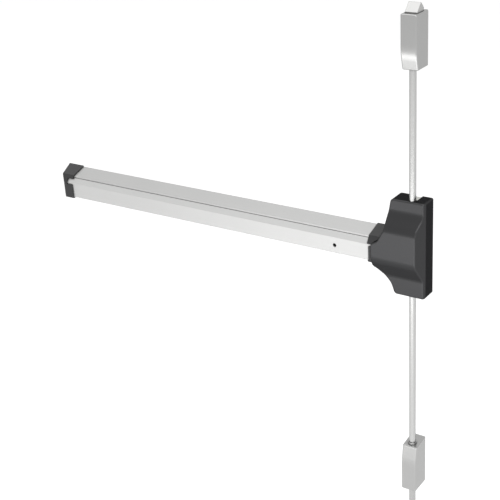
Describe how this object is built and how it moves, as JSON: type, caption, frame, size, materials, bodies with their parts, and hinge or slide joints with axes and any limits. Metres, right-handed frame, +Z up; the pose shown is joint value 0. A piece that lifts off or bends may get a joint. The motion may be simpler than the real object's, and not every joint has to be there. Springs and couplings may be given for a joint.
{
  "type": "vertical rod exit device",
  "caption": "Surface vertical rod exit device: push pad bar, head with lift levers, rods to a top latch and a floor bolt, and hex dogging.",
  "frame": {"origin": "on the door face, level with the bar's drive line and behind the rods' axis", "axes": "+X along the bar towards the head, +Y into the door, +Z up along the rods"},
  "size_m": [0.8435, 0.0505, 0.9645],
  "materials": {
    "rail_aluminium": "satin anodised, drawn along the bar",
    "pad_aluminium": "satin anodised, drawn along the bar",
    "black_plastic": "fine moulded grain",
    "nylon": "moulded",
    "head_paint": "satin dark grey paint on a cast cover",
    "latch_paint": "satin silver paint",
    "rod_steel": "satin, drawn along the rod",
    "bolt_steel": "machined",
    "spring_steel": "drawn wire",
    "screw_steel": "dull zinc",
    "inner_steel": "zinc plated"
  },
  "bodies": {
    "body": {"rail": "rail_aluminium", "outer_crank_base": "inner_steel", "inner_crank_base": "inner_steel", "crank_pivot_pins": "inner_steel", "spring_anchor": "inner_steel", "rail_rivets": "inner_steel", "return_spring": "spring_steel", "dogging_keeper": "inner_steel", "end_cap": "black_plastic", "end_cap_screw": "screw_steel", "end_bracket": "inner_steel", "collar": "black_plastic", "head_cover": "head_paint", "cover_screws": "screw_steel", "chassis": "inner_steel", "lug_screws": "inner_steel", "lever_pivots": "inner_steel", "top_guide_bushing": "nylon", "bottom_guide_bushing": "nylon", "top_latch_case": "latch_paint", "top_latch_base": "inner_steel", "top_bolt_spring": "spring_steel", "bottom_latch_case": "latch_paint", "bottom_latch_base": "inner_steel", "case_ring": "black_plastic", "case_screws": "screw_steel"},
    "pad": {"push_pad": "pad_aluminium", "outer_pad_bracket": "inner_steel", "inner_pad_bracket": "inner_steel", "dogging_holder": "inner_steel"},
    "dogging": {"dogging_screw": "screw_steel"},
    "outer_crank": {"outer_bell_crank": "inner_steel", "outer_pad_pin": "inner_steel"},
    "inner_crank": {"inner_bell_crank": "inner_steel", "inner_pad_pin": "inner_steel"},
    "drive": {"drive_strip": "inner_steel", "drive_slide": "inner_steel", "slide_rivets": "inner_steel"},
    "upper_lift": {"upper_lever": "inner_steel", "upper_input_pin": "inner_steel", "upper_lift_pin": "inner_steel"},
    "lower_lift": {"lower_lever": "inner_steel", "lower_input_pin": "inner_steel", "lower_lift_pin": "inner_steel"},
    "top_bolt_rod": {"top_rod": "rod_steel", "top_connector": "inner_steel", "top_lock_nut": "inner_steel", "top_bolt": "bolt_steel", "top_bolt_pin": "inner_steel"},
    "bottom_bolt_rod": {"bottom_rod": "rod_steel", "bottom_connector": "inner_steel", "bottom_lock_nut": "inner_steel", "rod_coupling": "inner_steel", "bottom_bolt": "bolt_steel"}
  },
  "joints": [
    {"name": "pad_push", "type": "slide", "parent": "body", "child": "pad", "axis": [0, 1, 0], "range_m": [0, 0.012], "stiffness_N_per_m": 2200, "springref_m": -0.012},
    {"name": "dogging_turn", "type": "hinge", "parent": "pad", "child": "dogging", "pos_m": [-0.148, -0.036, -0.0156], "axis": [0, 1, 0], "range_deg": [0, 90]},
    {"name": "outer_crank_turn", "type": "hinge", "parent": "body", "child": "outer_crank", "pos_m": [-0.64, -0.019, -0.005], "axis": [0, 0, 1], "range_deg": [0, 35.85]},
    {"name": "inner_crank_turn", "type": "hinge", "parent": "body", "child": "inner_crank", "pos_m": [-0.22, -0.019, -0.005], "axis": [0, 0, 1], "range_deg": [0, 35.85]},
    {"name": "drive_travel", "type": "slide", "parent": "body", "child": "drive", "axis": [-1, 0, 0], "range_m": [0, 0.008], "deforming": ["return_spring"]},
    {"name": "upper_lift_turn", "type": "hinge", "parent": "body", "child": "upper_lift", "pos_m": [-0.024, -0.0106, 0.018], "axis": [0, 1, 0], "range_deg": [0, 38.95]},
    {"name": "lower_lift_turn", "type": "hinge", "parent": "body", "child": "lower_lift", "pos_m": [-0.024, -0.0106, -0.018], "axis": [0, -1, 0], "range_deg": [0, 38.95]},
    {"name": "top_bolt_slide", "type": "slide", "parent": "body", "child": "top_bolt_rod", "axis": [0, 0, -1], "range_m": [0, 0.016], "deforming": ["top_bolt_spring"]},
    {"name": "bottom_bolt_slide", "type": "slide", "parent": "body", "child": "bottom_bolt_rod", "axis": [0, 0, 1], "range_m": [0, 0.016]}
  ],
  "couplings": [
    {"joint": "outer_crank_turn", "follows": "pad_push", "rad_per_m": 52.127},
    {"joint": "inner_crank_turn", "follows": "pad_push", "rad_per_m": 52.127},
    {"joint": "drive_travel", "follows": "pad_push", "ratio": 0.66666},
    {"joint": "upper_lift_turn", "follows": "pad_push", "rad_per_m": 56.639},
    {"joint": "lower_lift_turn", "follows": "pad_push", "rad_per_m": 56.639},
    {"joint": "top_bolt_slide", "follows": "pad_push", "ratio": 1.3333},
    {"joint": "bottom_bolt_slide", "follows": "pad_push", "ratio": 1.3333}
  ]
}
